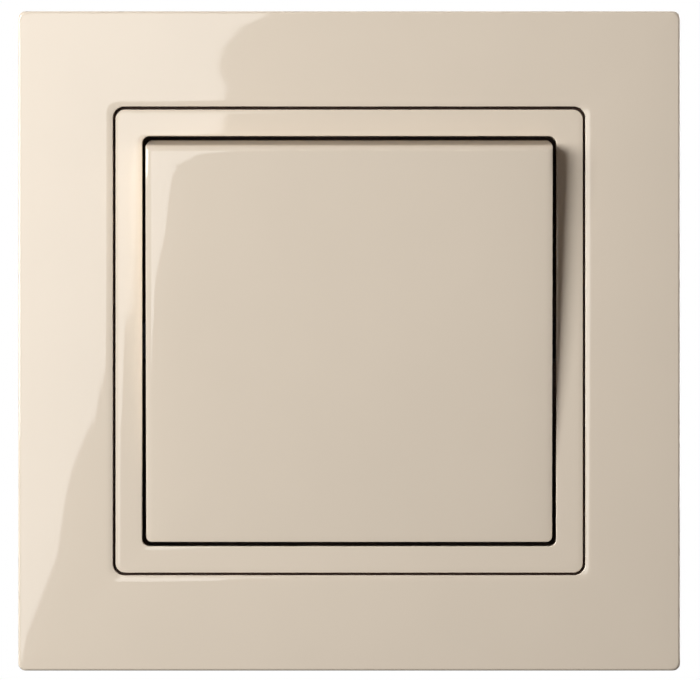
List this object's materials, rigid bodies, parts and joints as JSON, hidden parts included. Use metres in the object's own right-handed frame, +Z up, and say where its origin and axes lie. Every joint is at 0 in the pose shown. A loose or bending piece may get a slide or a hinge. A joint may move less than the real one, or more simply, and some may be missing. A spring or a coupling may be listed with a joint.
{
  "type": "rocker wall switch",
  "caption": "Flush-mounted wall light switch with a square cover frame, an inner bezel and one large rocker over a single-pole mechanism with spreading claws.",
  "frame": {"origin": "centre of the switch on the wall plane, which is the rear face of the support plate and of the cover frame", "axes": "+Z up, -Y out of the wall towards the user, +Y into the wall box, +X to the right seen from the front"},
  "size_m": [0.081, 0.0363, 0.0808],
  "materials": {
    "ivory_plastic": "glossy moulded ivory ABS",
    "white_plastic": "moulded white polyamide",
    "grey_plastic": "moulded grey thermoplastic",
    "galvanised_steel": "galvanised pressed steel",
    "plated_steel": "zinc plated, slightly yellow",
    "brass": "stamped brass strip",
    "silver": "silver alloy contact"
  },
  "bodies": {
    "chassis": {"outer_frame": "ivory_plastic", "inner_bezel": "ivory_plastic", "mechanism_base": "grey_plastic", "mechanism_cover": "white_plastic", "support_plate": "galvanised_steel", "assembly_screw_1": "plated_steel", "assembly_screw_2": "plated_steel", "assembly_screw_3": "plated_steel", "assembly_screw_4": "plated_steel", "common_contact": "brass", "fixed_contact": "brass", "fixed_contact_rivet": "silver"},
    "rocker": {"rocker_key": "ivory_plastic", "rocker_cradle": "white_plastic", "plunger_spring": "plated_steel"},
    "pusher": {"plunger": "white_plastic"},
    "contact_blade": {"moving_contact": "brass", "moving_contact_rivet": "silver"},
    "left_claw": {"claw_left": "galvanised_steel"},
    "right_claw": {"claw_right": "galvanised_steel"},
    "left_claw_screw": {"claw_screw_left": "plated_steel"},
    "right_claw_screw": {"claw_screw_right": "plated_steel"},
    "line_clamp": {"terminal_clamp_line": "plated_steel"},
    "load_clamp": {"terminal_clamp_load": "plated_steel"},
    "line_screw": {"terminal_screw_line": "brass"},
    "load_screw": {"terminal_screw_load": "brass"}
  },
  "joints": [
    {"name": "rocker_tilt", "type": "hinge", "parent": "chassis", "child": "rocker", "pos_m": [0, -0.0065, 0], "axis": [-1, 0, 0], "range_deg": [0, 8]},
    {"name": "plunger_slide", "type": "slide", "parent": "rocker", "child": "pusher", "axis": [0, -0.9976, -0.0698], "range_m": [0, 0.0008], "stiffness_N_per_m": 400, "springref_m": -0.002, "deforming": ["plunger_spring"]},
    {"name": "contact_rock", "type": "hinge", "parent": "chassis", "child": "contact_blade", "pos_m": [0, 0.0095, 0], "axis": [1, 0, 0], "range_deg": [0, 16]},
    {"name": "left_claw_screw_turn", "type": "hinge", "parent": "chassis", "child": "left_claw_screw", "pos_m": [-0.0245, 0, 0], "axis": [0, 1, 0], "range_deg": [0, 1080]},
    {"name": "right_claw_screw_turn", "type": "hinge", "parent": "chassis", "child": "right_claw_screw", "pos_m": [0.0245, 0, 0], "axis": [0, 1, 0], "range_deg": [0, 1080]},
    {"name": "left_claw_swing", "type": "hinge", "parent": "chassis", "child": "left_claw", "pos_m": [-0.0245, 0.006, 0], "axis": [0, 0, 1], "range_deg": [0, 15]},
    {"name": "right_claw_swing", "type": "hinge", "parent": "chassis", "child": "right_claw", "pos_m": [0.0245, 0.006, 0], "axis": [0, 0, -1], "range_deg": [0, 15]},
    {"name": "line_clamp_slide", "type": "slide", "parent": "chassis", "child": "line_clamp", "axis": [0, -1, 0], "range_m": [0, 0.002]},
    {"name": "load_clamp_slide", "type": "slide", "parent": "chassis", "child": "load_clamp", "axis": [0, -1, 0], "range_m": [0, 0.002]},
    {"name": "line_screw_turn", "type": "hinge", "parent": "line_clamp", "child": "line_screw", "pos_m": [-0.0095, 0.02, -0.013], "axis": [0, -1, 0], "range_deg": [0, 1440]},
    {"name": "load_screw_turn", "type": "hinge", "parent": "load_clamp", "child": "load_screw", "pos_m": [0.0095, 0.02, -0.013], "axis": [0, -1, 0], "range_deg": [0, 1440]}
  ],
  "couplings": [
    {"joint": "contact_rock", "follows": "rocker_tilt", "ratio": 2},
    {"joint": "left_claw_swing", "follows": "left_claw_screw_turn", "ratio": 0.01388},
    {"joint": "right_claw_swing", "follows": "right_claw_screw_turn", "ratio": 0.01388},
    {"joint": "line_screw_turn", "follows": "line_clamp_slide", "rad_per_m": 12566},
    {"joint": "load_screw_turn", "follows": "load_clamp_slide", "rad_per_m": 12566}
  ]
}
